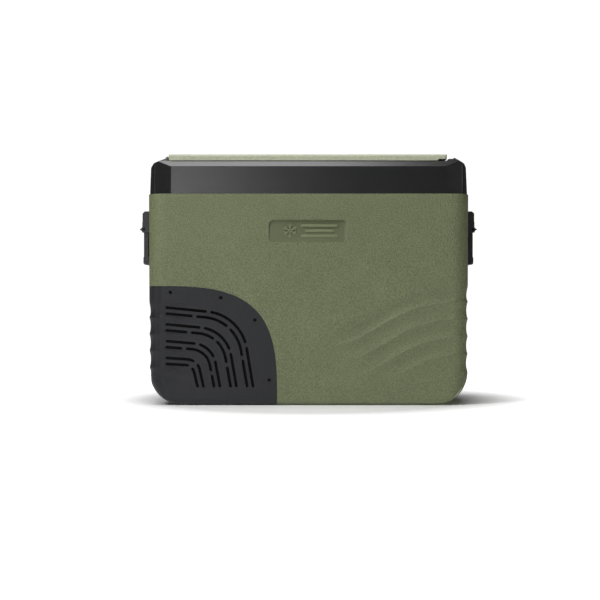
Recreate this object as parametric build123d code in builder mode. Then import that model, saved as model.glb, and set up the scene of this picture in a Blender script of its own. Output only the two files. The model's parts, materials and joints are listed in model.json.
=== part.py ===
from build123d import *

import os
from math import atan2, cos, pi, sin

os.makedirs("parts", exist_ok=True)

# Compressor cooler fridge. X runs along its length, Y is its depth with the front at -Y, Z is up.

# Cabinet
half_length = 286.0
half_depth = 172.0
corner_radius = 30.0
end_radius = 57.0
cabinet_bottom = 2.0
seam_height = 376.0
shell_wall = 3.0
foam_relief = 1.5
joint_gap = 0.3

# Badge recess in the front of the cabinet
badge_length = 142.0
badge_height = 40.0
badge_level = 310.0
badge_depth = 1.8
emblem_height = 1.4
crystal_x = -33.0
bars_x = 19.0
bar_pitch = 9.2

# Flutes pressed in the two ends
flute_top = 217.0
flute_pitch = 30.6
flute_land = 1.0
flute_depth = 2.4
flute_count = 5

# Vent cover round the lower left corner
vent_length = 226.0
vent_height = 212.0
vent_power = 3.4
vent_centre = -282.0
outline_steps = 14
vent_gap = 0.4
slot_width = 4.0
slot_start = -252.0
slot_foot = 34.0
slot_pitch = 29.8
slot_pair_gap = 10.6
screw_spots = ((-245.5, 200.5), (-156.0, 191.0), (-95.7, 151.5), (-70.0, 44.7))
screw_radius = 3.2
boss_radius = 10.0
filter_margin = 14.0
filter_left = -258.0

# Inlets at the back, as places along the length and up
low_voltage_place = (-232.0, 48.0)
mains_place = (-184.0, 30.0)
inlet_panel_centre = (-208.0, 40.0)
inlet_panel_length = 82.0
inlet_panel_height = 44.0

# Compressor bay
bay_wall = 2.5
bay_offset = 1.5
plate_top = 4.0

# Liner tub
tub_left = -226.0
tub_right = 222.0
tub_half_depth = 130.0
tub_floor = 42.0
tub_step_floor = 240.0
tub_step_edge = -40.0
tub_top = 430.0
tub_wall = 1.8
tub_corner = 24.0

# Top frame
frame_half_length = 284.5
frame_half_depth = 170.5
deck_height = 435.0
frame_wall = 4.0
ridge_height = 440.8
left_ridge = -251.3
right_ridge = 259.7
notch_floor = 438.6
notch_left = 249.5

# Lid
lid_left = -249.5
lid_right = 246.5
lid_half_depth = 163.0
lid_bottom = 435.6
lid_top = 446.6
lid_skin = 3.0
hinge_x = -252.5
hinge_z = 440.0
pin_radius = 2.0
knuckle_radius = 3.4
lid_knuckle_inner = 60.0
lid_knuckle_outer = 110.0
hinge_half_length = 150.0
skirt_bottom = 408.0
skirt_left = -221.0
skirt_right = 217.0
skirt_half_depth = 125.0

# Latch
latch_x = 237.0
latch_z = 440.5
latch_half_width = 46.0
latch_pin_radius = 1.2

# End handles
handle_half_width = 64.0
handle_pivot_x = 302.0
handle_pivot_z = 317.0
hub_radius = 6.0
bracket_outer = 305.0
bracket_plate = 2.0
grip_bottom = 252.0
handle_pin_radius = 2.2

# Control panel on the sloping left end cap
panel_angle = atan2(10.0, 25.1)
panel_centre = (-264.0, 0.0, 435.74)
button_radius = 4.0
button_pitch = 17.0

# Compressor, condenser and fan
compressor_x = -150.0
compressor_y = 62.0
compressor_radius = 50.0
compressor_base = 24.0
fan_x = -222.0
fan_y = -20.0
fan_z = 102.0
fan_radius = 44.0


def save(part, name):
    """Name a finished part and write its STEP file."""
    part.label = name
    export_step(part, f"parts/{name}.step")


def cabinet_block(inset, bottom, top):
    """Solid that follows the cabinet's outside, the given inset inside it."""
    length = 2 * (half_length - inset)
    depth = 2 * (half_depth - inset)
    height = top - bottom
    with BuildPart() as block:
        with BuildSketch(Plane.XY.offset(bottom)):
            RectangleRounded(length, depth, corner_radius - inset)
        extrude(amount=height)
        with BuildSketch(Plane.XZ.offset(half_depth)) as elevation:
            with Locations((0, bottom + height / 2)):
                Rectangle(length, height)
            fillet(elevation.vertices().group_by(Axis.Y)[0], end_radius - inset)
        extrude(amount=-2 * half_depth, mode=Mode.INTERSECT)
    return block.part


def vent_prism(margin):
    """Prism through the whole depth, inside the vent cover's curved edge by the margin."""
    points = []
    for step in range(outline_steps + 1):
        angle = pi / 2 * step / outline_steps
        across = (vent_length - margin) * cos(angle) ** (2 / vent_power)
        up = (vent_height - margin) * abs(sin(angle)) ** (2 / vent_power)
        points.append((vent_centre + across, up))
    with BuildPart() as prism:
        with BuildSketch(Plane.XZ.offset(half_depth + 5)):
            with BuildLine():
                Spline(*points)
                Polyline(
                    points[-1],
                    (-320, points[-1][1]),
                    (-320, -10),
                    (points[0][0], -10),
                    points[0],
                )
            make_face()
        extrude(amount=-2 * (half_depth + 5))
    return prism.part


def end_flutes(side):
    """Cylinders that press the row of flutes in one end of the cabinet."""
    chord = flute_pitch - flute_land
    radius = chord**2 / (8 * flute_depth) + flute_depth / 2
    with BuildPart() as flutes:
        with BuildSketch(Plane.XZ.offset(half_depth + 5)):
            for index in range(flute_count):
                level = flute_top - (index + 0.5) * flute_pitch
                with Locations((side * (half_length + radius - flute_depth), level)):
                    Circle(radius)
        extrude(amount=-2 * (half_depth + 5))
    return flutes.part


def tub_block(grow, top):
    """Solid of the liner's stepped hollow, grown outward by the given amount."""
    left = tub_left - grow
    right = tub_right + grow
    middle = (tub_left + tub_right) / 2
    corners = [
        (left, top),
        (left, tub_step_floor - grow),
        (tub_step_edge - grow, tub_step_floor - grow),
        (tub_step_edge - grow, tub_floor - grow),
        (right, tub_floor - grow),
        (right, top),
    ]
    with BuildPart() as block:
        with BuildSketch(Plane.XZ.offset(tub_half_depth + grow)) as elevation:
            with BuildLine():
                Polyline(*corners, close=True)
            make_face()
            levels = elevation.vertices().group_by(Axis.Y)
            fillet(levels[0] + levels[1], 14 + grow / 2)
        extrude(amount=-2 * (tub_half_depth + grow))
        with BuildSketch(Plane.XY.offset(tub_floor - grow)):
            with Locations((middle, 0)):
                RectangleRounded(right - left, 2 * (tub_half_depth + grow), tub_corner + grow)
        extrude(amount=top - tub_floor + grow, mode=Mode.INTERSECT)
    return block.part


def frame_plan(inset):
    """Plan outline of the top frame with its faceted corners, as local corner points."""
    x = frame_half_length - inset
    y = frame_half_depth - inset
    cut_x = 40.0
    facet_y = 11.0
    side_x = 9.0
    side_y = 32.0
    quarter = [(x, y - side_y), (x - side_x, y - facet_y), (x - cut_x, y)]
    points = quarter + [(-px, py) for px, py in reversed(quarter)]
    return points + [(-px, -py) for px, py in points]


def bar_y(x, z, radius, y_from, y_to):
    """Round bar along Y."""
    with BuildPart() as bar:
        with BuildSketch(Plane.XZ.offset(-y_from)):
            with Locations((x, z)):
                Circle(radius)
        extrude(amount=y_from - y_to)
    return bar.part


def wire_hoop(centre, length, depth, corner, radius):
    """Closed level hoop of round wire or tube with rounded corners."""
    with BuildSketch(Plane.XY.offset(centre[2])) as outline:
        with Locations(centre[:2]):
            RectangleRounded(length, depth, corner)
    path = outline.sketch.face().outer_wire()
    with BuildPart() as hoop:
        with BuildSketch(Plane(path @ 0, z_dir=path % 0)):
            Circle(radius)
        sweep(path=path)
    return hoop.part


def block_between(low, high):
    """Plain rectangular block between two opposite corners."""
    centre = [(a + b) / 2 for a, b in zip(low, high)]
    with BuildPart() as block:
        with Locations(tuple(centre)):
            Box(high[0] - low[0], high[1] - low[1], high[2] - low[2])
    return block.part


# --- Outer cabinet shell ---------------------------------------------------------------------

with BuildPart() as outer_shell:
    add(cabinet_block(0, cabinet_bottom, seam_height))
    add(cabinet_block(shell_wall, cabinet_bottom + shell_wall, seam_height + 20), mode=Mode.SUBTRACT)
    add(vent_prism(0), mode=Mode.SUBTRACT)
    add(end_flutes(1), mode=Mode.SUBTRACT)
    with BuildSketch(Plane.XZ.offset(half_depth)):
        with Locations((0, badge_level)):
            RectangleRounded(badge_length, badge_height, 7.5)
    extrude(amount=-badge_depth, mode=Mode.SUBTRACT)
    with BuildSketch(Plane.XY.offset(cabinet_bottom)):
        with Locations((205, 125), (205, -125)):
            Circle(4)
    extrude(amount=shell_wall, mode=Mode.SUBTRACT)
save(outer_shell.part, "outer_shell")

# --- Generic badge: a six-armed snow crystal beside three rounded bars -------------------------

with BuildPart() as badge:
    with BuildSketch(Plane.XZ.offset(half_depth - badge_depth)):
        with Locations((crystal_x, badge_level)):
            Circle(4)
            for arm in range(6):
                with PolarLocations(8, 1, start_angle=60 * arm + 30):
                    SlotOverall(12, 2.6)
                with PolarLocations(9.5, 1, start_angle=60 * arm + 30):
                    Rectangle(2.2, 9)
        for row, length in ((1, 66), (0, 52), (-1, 66)):
            with Locations((bars_x, badge_level + row * bar_pitch)):
                SlotOverall(length, 5)
    extrude(amount=emblem_height)
save(badge.part, "badge")

# --- Vent cover --------------------------------------------------------------------------------


def slot_path(index):
    """Centre line of one vent slot: a level leg and a falling leg joined by an arc."""
    inward = slot_pitch * (index // 2) + slot_pair_gap * (index % 2)
    start = (slot_start, 173.4 - inward)
    corner = (-120 - 0.862 * inward, 160.5 - 0.897 * inward)
    finish = (-98.9 - 0.985 * inward, slot_foot)
    with BuildLine() as path:
        FilletPolyline(start, corner, finish, radius=78 - 0.61 * inward)
    return path.wire()


with BuildPart() as vent_slots:
    with BuildSketch(Plane.XZ.offset(half_depth + 5)):
        for index in range(8):
            centre_line = slot_path(index)
            for begin, end in ((0, 0.32), (0.36, 0.68), (0.72, 1)):
                SlotArc(centre_line.trim(begin, end), slot_width)
    extrude(amount=-2 * (half_depth + 5))
    with BuildSketch(Plane.YZ.offset(-half_length - 5)):
        for index in range(8):
            level = 173.4 - slot_pitch * (index // 2) - slot_pair_gap * (index % 2)
            for side in (-1, 0, 1):
                with Locations((side * 76, level)):
                    SlotOverall(68, slot_width)
    extrude(amount=15)

with BuildPart() as vent_cover:
    add(cabinet_block(0, cabinet_bottom, seam_height))
    add(cabinet_block(shell_wall, cabinet_bottom + shell_wall, seam_height + 20), mode=Mode.SUBTRACT)
    add(vent_prism(vent_gap), mode=Mode.INTERSECT)
    add(end_flutes(-1), mode=Mode.SUBTRACT)
    add(vent_slots.part, mode=Mode.SUBTRACT)
    add(block_between((-224, -160, 0), (-50, 160, 8)), mode=Mode.SUBTRACT)
    with BuildSketch(Plane.XZ.offset(half_depth)):
        with Locations(*screw_spots):
            Circle(screw_radius)
    extrude(amount=-2 * half_depth, mode=Mode.SUBTRACT)
    with BuildSketch(Plane.XZ.offset(-half_depth)):
        with Locations(inlet_panel_centre):
            Rectangle(inlet_panel_length + 0.4, inlet_panel_height + 0.4)
    extrude(amount=8, mode=Mode.SUBTRACT)
save(vent_cover.part, "vent_cover")

with BuildPart() as inlet_panel:
    with BuildSketch(Plane.XZ.offset(-half_depth)):
        with Locations(inlet_panel_centre):
            Rectangle(inlet_panel_length, inlet_panel_height)
        with Locations(low_voltage_place):
            RectangleRounded(26.4, 16.4, 4, mode=Mode.SUBTRACT)
        with Locations(mains_place):
            RectangleRounded(24.4, 14.4, 4, mode=Mode.SUBTRACT)
    extrude(amount=shell_wall)
save(inlet_panel.part, "inlet_panel")

with BuildPart() as vent_screws:
    for side in (1, -1):
        with BuildSketch(Plane.XZ.offset(side * (half_depth - 1.2))):
            with Locations(*screw_spots):
                Circle(screw_radius - 0.1)
                RegularPolygon(1.4, 6, mode=Mode.SUBTRACT)
        extrude(amount=-side * 1.8)
        with BuildSketch(Plane.XZ.offset(side * (half_depth - 3))):
            with Locations(*screw_spots):
                Circle(1.9)
        extrude(amount=-side * 10)
save(vent_screws.part, "vent_screws")

# --- Dust filter: thin sheets behind the slots ---------------------------------------------------

with BuildPart() as dust_filter:
    add(vent_prism(filter_margin))
    add(block_between((filter_left, -168.2, 14), (0, 168.2, 200)), mode=Mode.INTERSECT)
    add(block_between((-290, -167.4, 0), (0, 167.4, 230)), mode=Mode.SUBTRACT)
    with BuildSketch(Plane.XZ.offset(half_depth)):
        with Locations(*screw_spots):
            Circle(boss_radius + 0.5)
    extrude(amount=-2 * half_depth, mode=Mode.SUBTRACT)
    with BuildSketch(Plane.XZ.offset(-half_depth)):
        with Locations(low_voltage_place):
            RectangleRounded(27.2, 17.2, 4)
        with Locations(mains_place):
            RectangleRounded(25.2, 15.2, 4)
    extrude(amount=8, mode=Mode.SUBTRACT)
    add(block_between((-282.5, -128, 62), (-281.8, 128, 182)))
save(dust_filter.part, "dust_filter")

# --- Compressor bay wall -----------------------------------------------------------------------

bay_half_depth = half_depth - shell_wall - joint_gap
bay_bottom = cabinet_bottom + shell_wall + joint_gap

with BuildPart() as bay_wall_part:
    add(vent_prism(bay_offset))
    add(vent_prism(bay_offset + bay_wall), mode=Mode.SUBTRACT)
    bay_room = block_between((-281.5, -bay_half_depth, bay_bottom), (0, bay_half_depth, 260))
    add(bay_room, mode=Mode.INTERSECT)
    for side in (1, -1):
        with BuildSketch(Plane.XZ.offset(side * bay_half_depth)):
            with Locations(*screw_spots):
                Circle(boss_radius)
        extrude(amount=-side * 14)
        with BuildSketch(Plane.XZ.offset(side * bay_half_depth)):
            with Locations(*screw_spots):
                Circle(2)
        extrude(amount=-side * 14, mode=Mode.SUBTRACT)
        low, high = sorted((side * 140, side * 200))
        add(block_between((-300, low, 195), (-262, high, 260)), mode=Mode.SUBTRACT)
    add(vent_prism(bay_offset), mode=Mode.INTERSECT)
save(bay_wall_part.part, "bay_wall")

# --- Liner tub ---------------------------------------------------------------------------------

with BuildPart() as inner_liner:
    add(tub_block(tub_wall, tub_top))
    add(tub_block(0, tub_top + 5), mode=Mode.SUBTRACT)
save(inner_liner.part, "inner_liner")

# --- Evaporator: three tube loops round the tub and a riser at the back --------------------------

evaporator_levels = (268.0, 308.0, 348.0)
evaporator_grow = tub_wall + 4.2
tub_middle = (tub_left + tub_right) / 2


def evaporator_loops(radius):
    """Tube loops that wrap the upper part of the tub."""
    with BuildPart() as loops:
        for level in evaporator_levels:
            add(
                wire_hoop(
                    (tub_middle, 0, level),
                    tub_right - tub_left + 2 * evaporator_grow,
                    2 * (tub_half_depth + evaporator_grow),
                    tub_corner + evaporator_grow,
                    radius,
                )
            )
        with BuildSketch(Plane.XY.offset(evaporator_levels[0])):
            with Locations((-60, tub_half_depth + evaporator_grow)):
                Circle(radius)
        extrude(amount=evaporator_levels[-1] - evaporator_levels[0])
    return loops.part


save(evaporator_loops(3.0), "evaporator_tube")

# --- Top frame ---------------------------------------------------------------------------------

with BuildPart() as top_frame:
    with BuildSketch(Plane.XY.offset(seam_height)):
        with BuildLine():
            FilletPolyline(*frame_plan(0), radius=5, close=True)
        make_face()
    extrude(amount=80)
    with BuildSketch(Plane.XZ.offset(frame_half_depth)) as frame_elevation:
        with BuildLine():
            Polyline(
                (-frame_half_length, seam_height),
                (-282.3, 424),
                (-276.4, 430.8),
                (left_ridge, ridge_height),
                (left_ridge, deck_height),
                (notch_left, deck_height),
                (notch_left, notch_floor),
                (right_ridge, notch_floor),
                (right_ridge, ridge_height),
                (278.3, 430.0),
                (281.8, 424),
                (frame_half_length, seam_height),
                close=True,
            )
        make_face()
        shoulders = [v for v in frame_elevation.vertices() if abs(v.X) > 275 and v.Y > 400]
        fillet(shoulders, 8)
    extrude(amount=-2 * frame_half_depth, mode=Mode.INTERSECT)
    with BuildSketch(Plane.YZ.offset(-frame_half_length)):
        with BuildLine():
            Polyline(
                (-frame_half_depth, seam_height),
                (-frame_half_depth, 424.6),
                (-162, deck_height),
                (-158, ridge_height + 1),
                (158, ridge_height + 1),
                (162, deck_height),
                (frame_half_depth, 424.6),
                (frame_half_depth, seam_height),
                close=True,
            )
        make_face()
    extrude(amount=2 * frame_half_length, mode=Mode.INTERSECT)
    with BuildSketch(Plane.XY.offset(seam_height)):
        with Locations((tub_middle, 0)):
            RectangleRounded(
                tub_right - tub_left + 2 * tub_wall + 0.4,
                2 * (tub_half_depth + tub_wall) + 0.4,
                tub_corner + tub_wall,
            )
    extrude(amount=80, mode=Mode.SUBTRACT)
    with BuildSketch(Plane.XY.offset(seam_height)):
        with BuildLine():
            FilletPolyline(*frame_plan(frame_wall), radius=4, close=True)
        make_face()
        with Locations((tub_middle, 0)):
            RectangleRounded(
                tub_right - tub_left + 2 * tub_wall + 7,
                2 * (tub_half_depth + tub_wall) + 7,
                tub_corner + tub_wall + 3,
                mode=Mode.SUBTRACT,
            )
    extrude(amount=34, mode=Mode.SUBTRACT)
    for side in (1, -1):
        add(
            block_between(
                (-257.2, side * 85 - 25.6, deck_height + 0.6),
                (left_ridge + 1, side * 85 + 25.6, ridge_height + 2),
            ),
            mode=Mode.SUBTRACT,
        )
        add(bar_y(hinge_x, hinge_z, knuckle_radius, side * 111, side * 150))
    add(bar_y(hinge_x, hinge_z, knuckle_radius, -59, 59))
    add(bar_y(hinge_x, hinge_z, pin_radius, -hinge_half_length, hinge_half_length), mode=Mode.SUBTRACT)
    add(block_between((229.5, -15, 418), (244.8, 15, 450)), mode=Mode.SUBTRACT)
    panel_plane = Plane(
        origin=panel_centre, x_dir=(0, 1, 0), z_dir=(-sin(panel_angle), 0, cos(panel_angle))
    )
    with BuildSketch(panel_plane.offset(2)):
        RectangleRounded(150, 15, 3)
    extrude(amount=-18, mode=Mode.SUBTRACT)
save(top_frame.part, "top_frame")

with BuildPart() as hinge_pin:
    add(bar_y(hinge_x, hinge_z, pin_radius - 0.05, -hinge_half_length, hinge_half_length))
save(hinge_pin.part, "hinge_pin")

# --- Foam insulation ---------------------------------------------------------------------------

with BuildPart() as foam:
    foam_bottom = cabinet_bottom + shell_wall + joint_gap
    add(cabinet_block(shell_wall + foam_relief, foam_bottom, seam_height - 0.2))
    with BuildSketch(Plane.XY.offset(seam_height - 0.2)):
        with BuildLine():
            FilletPolyline(*frame_plan(frame_wall + joint_gap), radius=4, close=True)
        make_face()
    extrude(amount=33.8)
    add(tub_block(tub_wall + joint_gap, seam_height + 60), mode=Mode.SUBTRACT)
    with BuildSketch(Plane.XY.offset(seam_height - 0.2)):
        with Locations((tub_middle, 0)):
            RectangleRounded(
                tub_right - tub_left + 2 * tub_wall + 7.6,
                2 * (tub_half_depth + tub_wall) + 7.6,
                tub_corner + tub_wall + 3.3,
            )
    extrude(amount=60, mode=Mode.SUBTRACT)
    add(vent_prism(bay_offset - joint_gap - 1.2), mode=Mode.SUBTRACT)
    add(evaporator_loops(3.3), mode=Mode.SUBTRACT)
    add(block_between((-277, -80, 405), (-251, 80, 420)), mode=Mode.SUBTRACT)
    add(block_between((226, -17, 405), (247, 17, 420)), mode=Mode.SUBTRACT)
save(foam.part, "foam_insulation")

# --- Control panel -----------------------------------------------------------------------------

button_places = [(12 + button_pitch * index, 0) for index in range(4)]

with BuildPart() as control_bezel:
    with BuildSketch(panel_plane.offset(-2.2)):
        RectangleRounded(149.6, 14.6, 2.8)
    extrude(amount=2.6)
    with BuildSketch(panel_plane.offset(-2.2)):
        with Locations(*button_places):
            Circle(button_radius + 0.1)
        with Locations((-30, 0)):
            RectangleRounded(50.4, 9.4, 1.5)
    extrude(amount=2.6, mode=Mode.SUBTRACT)
save(control_bezel.part, "control_bezel")

with BuildPart() as display_window:
    with BuildSketch(panel_plane.offset(-2.0)):
        with Locations((-30, 0)):
            RectangleRounded(50, 9, 1.4)
    extrude(amount=2.2)
save(display_window.part, "display_window")

for index, place in enumerate(button_places):
    with BuildPart() as button:
        with BuildSketch(panel_plane.offset(-1.6)):
            with Locations(place):
                Circle(button_radius)
        extrude(amount=2.9)
        top_edges = button.edges().filter_by(GeomType.CIRCLE).sort_by(Axis.Z)[-1]
        fillet(top_edges, 0.6)
    save(button.part, f"button_{index + 1}")

with BuildPart() as control_board:
    with BuildSketch(panel_plane.offset(-5.4)):
        RectangleRounded(144, 13, 1)
    extrude(amount=1.6)
    with BuildSketch(panel_plane.offset(-3.8)):
        with Locations(*button_places):
            Rectangle(5, 5)
    extrude(amount=1.0)
    with BuildSketch(panel_plane.offset(-3.8)):
        with Locations((-30, 0)):
            Rectangle(44, 8)
    extrude(amount=1.6)
save(control_board.part, "control_board")

# --- Lid ---------------------------------------------------------------------------------------

with BuildPart() as lid_panel:
    with BuildSketch(Plane.XY.offset(lid_bottom)):
        with Locations(((lid_left + lid_right) / 2, 0)):
            RectangleRounded(lid_right - lid_left, 2 * lid_half_depth, 5)
    extrude(amount=lid_top - lid_bottom)
    with BuildSketch(Plane.XZ.offset(lid_half_depth)) as lid_elevation:
        with Locations(((lid_left + lid_right) / 2, (lid_bottom + lid_top) / 2)):
            Rectangle(lid_right - lid_left, lid_top - lid_bottom)
        upper = lid_elevation.vertices().group_by(Axis.Y)[-1].sort_by(Axis.X)
        fillet(upper[0], 1.5)
        fillet(upper[1], 8)
    extrude(amount=-2 * lid_half_depth, mode=Mode.INTERSECT)
    with BuildSketch(Plane.YZ.offset(lid_left)) as lid_side:
        with Locations((0, (lid_bottom + lid_top) / 2)):
            Rectangle(2 * lid_half_depth, lid_top - lid_bottom)
        fillet(lid_side.vertices().group_by(Axis.Y)[-1], 4.5)
    extrude(amount=lid_right - lid_left, mode=Mode.INTERSECT)
    add(
        block_between(
            (lid_left + lid_skin, -lid_half_depth + 3, lid_bottom - 1),
            (239, lid_half_depth - 3, lid_top - lid_skin),
        ),
        mode=Mode.SUBTRACT,
    )
    add(
        block_between((lid_left - 1, -152, lid_bottom - 1), (lid_left + 4, 152, lid_top - lid_skin)),
        mode=Mode.SUBTRACT,
    )
    add(block_between((231, -50, lid_bottom - 1), (250, 50, lid_top + 1)), mode=Mode.SUBTRACT)
    for side in (1, -1):
        add(
            block_between(
                (231, side * 107 - 57, lid_bottom - 1),
                (250, side * 107 + 57, lid_bottom + 2.6),
            ),
            mode=Mode.SUBTRACT,
        )
save(lid_panel.part, "lid_panel")

with BuildPart() as lid_tray:
    add(block_between((lid_left + lid_skin + 0.3, -159.6, 437), (230.6, 159.6, 439.6)))
    with BuildSketch(Plane.XY.offset(skirt_bottom)):
        with Locations(((skirt_left + skirt_right) / 2, 0)):
            RectangleRounded(skirt_right - skirt_left, 2 * skirt_half_depth, 19)
    extrude(amount=437.5 - skirt_bottom)
    with BuildSketch(Plane.XY.offset(skirt_bottom)):
        with Locations(((skirt_left + skirt_right) / 2, 0)):
            RectangleRounded(skirt_right - skirt_left - 5, 2 * skirt_half_depth - 5, 16.5)
    extrude(amount=40, mode=Mode.SUBTRACT)
    for side in (1, -1):
        low, high = sorted((side * lid_knuckle_inner, side * lid_knuckle_outer))
        add(block_between((hinge_x, low, 437), (lid_left + 4, high, 439.6)))
        add(bar_y(hinge_x, hinge_z, knuckle_radius, low, high))
        add(block_between((230, side * 48.2 - 1.4, 437), (240.5, side * 48.2 + 1.4, 443.2)))
    add(bar_y(hinge_x, hinge_z, pin_radius, -hinge_half_length, hinge_half_length), mode=Mode.SUBTRACT)
    add(bar_y(latch_x, latch_z, latch_pin_radius, -60, 60), mode=Mode.SUBTRACT)
save(lid_tray.part, "lid_tray")

with BuildPart() as lid_foam:
    with BuildSketch(Plane.XY.offset(skirt_bottom + 0.2)):
        with Locations(((skirt_left + skirt_right) / 2, 0)):
            RectangleRounded(skirt_right - skirt_left - 5.6, 2 * skirt_half_depth - 5.6, 16.2)
    extrude(amount=439.8 - skirt_bottom - 0.2)
    add(block_between((-245.8, -159.6, 439.8), (229.7, 159.6, 443.4)))
    add(block_between((-250, -153, 439.7), (-244, 153, 443.8)), mode=Mode.SUBTRACT)
save(lid_foam.part, "lid_foam")

with BuildPart() as lid_liner:
    with BuildSketch(Plane.XY.offset(skirt_bottom - 2)):
        with Locations(((skirt_left + skirt_right) / 2, 0)):
            RectangleRounded(skirt_right - skirt_left, 2 * skirt_half_depth, 19)
    extrude(amount=2)
    fillet(lid_liner.faces().sort_by(Axis.Z)[0].edges(), 1.2)
save(lid_liner.part, "lid_liner")

with BuildPart() as lid_gasket:
    with BuildSketch(Plane.XY.offset(deck_height)):
        with Locations((tub_middle, 0)):
            RectangleRounded(464, 280, 30)
            RectangleRounded(456, 272, 26, mode=Mode.SUBTRACT)
    extrude(amount=2)
    with BuildSketch(Plane.XY.offset(deck_height + 0.8)):
        with Locations((tub_middle, 0)):
            RectangleRounded(456, 272, 26)
            RectangleRounded(446, 262, 21, mode=Mode.SUBTRACT)
    extrude(amount=1.2)
save(lid_gasket.part, "lid_gasket")

# --- Latch -------------------------------------------------------------------------------------

with BuildPart() as latch_lever:
    with BuildSketch(Plane.XZ.offset(latch_half_width)) as lever_profile:
        with BuildLine():
            Polyline(
                (233.8, 437.6),
                (244.0, 436.6),
                (249.0, 439.2),
                (249.0, 441.0),
                (244.5, 445.2),
                (234.8, 446.2),
                (233.8, 444.6),
                close=True,
            )
        make_face()
        fillet(lever_profile.vertices().group_by(Axis.X)[-1], 0.8)
    extrude(amount=-2 * latch_half_width)
    with BuildSketch(Plane.XZ.offset(12)):
        with BuildLine():
            Polyline(
                (235.2, 440),
                (235.2, 427),
                (234.3, 427),
                (232.8, 424),
                (238.5, 424),
                (238.5, 440),
                close=True,
            )
        make_face()
    extrude(amount=-24)
    add(bar_y(latch_x, latch_z, latch_pin_radius + 0.05, -60, 60), mode=Mode.SUBTRACT)
    add(block_between((233, 22, 437), (latch_x + 3.5, 34, latch_z + 3.5)), mode=Mode.SUBTRACT)
save(latch_lever.part, "latch_lever")

coil_wire = 0.4
coil_turns = 7
coil_from, coil_to = 23.0, 33.0
coil_path = Helix(
    pitch=(coil_to - coil_from) / coil_turns,
    height=coil_to - coil_from,
    radius=2.2,
    center=(latch_x, coil_from, latch_z),
    direction=(0, 1, 0),
)

with BuildPart() as latch_spring:
    with BuildSketch(Plane(coil_path @ 0, z_dir=coil_path % 0)):
        Circle(coil_wire)
    sweep(path=coil_path, is_frenet=True)
save(latch_spring.part, "latch_spring")

with BuildPart() as latch_pin:
    add(bar_y(latch_x, latch_z, latch_pin_radius - 0.02, -49.5, 49.5))
save(latch_pin.part, "latch_pin")

with BuildPart() as latch_strike:
    add(block_between((229.5, -14.8, 428), (232.4, 14.8, 433.5)))
    add(block_between((229.5, -14.8, 431.5), (234.2, 14.8, 433.5)))
save(latch_strike.part, "latch_strike")

# --- End handles -------------------------------------------------------------------------------

for side, end_name in ((-1, "left"), (1, "right")):
    pivot_x = side * handle_pivot_x
    with BuildPart() as bracket:
        with BuildSketch(Plane.XZ.offset(handle_half_width)):
            with BuildLine():
                Polyline(
                    (side * half_length, 350),
                    (side * (bracket_outer - 4), 350),
                    (side * bracket_outer, 346),
                    (side * bracket_outer, 327.5),
                    (side * (bracket_outer - 14), 327.5),
                    (side * (bracket_outer - 16), 304),
                    (side * half_length, 300),
                    close=True,
                )
            make_face()
        extrude(amount=-2 * handle_half_width)
        with BuildSketch(Plane.XZ.offset(40)):
            with Locations((pivot_x, handle_pivot_z)):
                Circle(hub_radius)
            with Locations((pivot_x - side * 6, handle_pivot_z)):
                Rectangle(12, 2 * hub_radius)
        extrude(amount=-80)
        with BuildSketch(Plane.YZ.offset(side * half_length)):
            with Locations((0, 288)):
                RectangleRounded(2 * handle_half_width, 40, 8)
        extrude(amount=side * bracket_plate)
        with BuildSketch(Plane.YZ.offset(side * (half_length + bracket_plate))):
            with Locations((-50, 282), (50, 282)):
                Circle(3.4)
        extrude(amount=-side * bracket_plate, mode=Mode.SUBTRACT)
        for y_side in (1, -1):
            low, high = sorted((y_side * 40, y_side * 62))
            inner, outer = sorted((side * 289.4, side * 320))
            add(block_between((inner, low, 305), (outer, high, 327)), mode=Mode.SUBTRACT)
        for y_side in (1, -1):
            low, high = sorted((y_side * 58, y_side * handle_half_width))
            inner, outer = sorted((side * 287, side * (bracket_outer + 0.5)))
            add(block_between((inner, low, 311), (outer, high, 330)))
        add(bar_y(pivot_x, handle_pivot_z, handle_pin_radius, -70, 70), mode=Mode.SUBTRACT)
    save(bracket.part, f"handle_bracket_{end_name}")

    with BuildPart() as grip:
        for y_side in (1, -1):
            low, high = sorted((y_side * 40.6, y_side * 57.4))
            add(bar_y(pivot_x, handle_pivot_z, hub_radius, low, high))
            with BuildSketch(Plane.XZ.offset(-low)):
                with BuildLine():
                    Polyline(
                        (pivot_x + side * 4, handle_pivot_z + 3.5),
                        (pivot_x + side * 9, handle_pivot_z),
                        (pivot_x + side * 4, handle_pivot_z - 3.5),
                        close=True,
                    )
                make_face()
            extrude(amount=low - high)
            inner, outer = sorted((pivot_x - side * 7, pivot_x + side))
            add(block_between((inner, low, grip_bottom + 2), (outer, high, handle_pivot_z)))
        with BuildSketch(Plane.XZ.offset(57.4)) as bar_profile:
            with Locations((pivot_x - side * 3.5, grip_bottom + 8)):
                Rectangle(11, 16)
            fillet(bar_profile.vertices(), 4)
        extrude(amount=-114.8)
        add(bar_y(pivot_x, handle_pivot_z, handle_pin_radius, -70, 70), mode=Mode.SUBTRACT)
    save(grip.part, f"handle_grip_{end_name}")

    with BuildPart() as handle_pin:
        add(bar_y(pivot_x, handle_pivot_z, handle_pin_radius - 0.05, -63.5, 63.5))
    save(handle_pin.part, f"handle_pin_{end_name}")

    with BuildPart() as handle_screws:
        with BuildSketch(Plane.YZ.offset(side * (half_length + 0.2))):
            with Locations((-50, 282), (50, 282)):
                Circle(3.2)
                RegularPolygon(1.5, 6, mode=Mode.SUBTRACT)
        extrude(amount=side * 1.5)
    save(handle_screws.part, f"handle_screws_{end_name}")

# --- Base plate and feet -----------------------------------------------------------------------

mount_places = ((-38, -38), (38, -38), (-38, 38), (38, 38))
left_feet = ((-205, 125), (-205, -125))
right_feet = ((205, 125), (205, -125))

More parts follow.
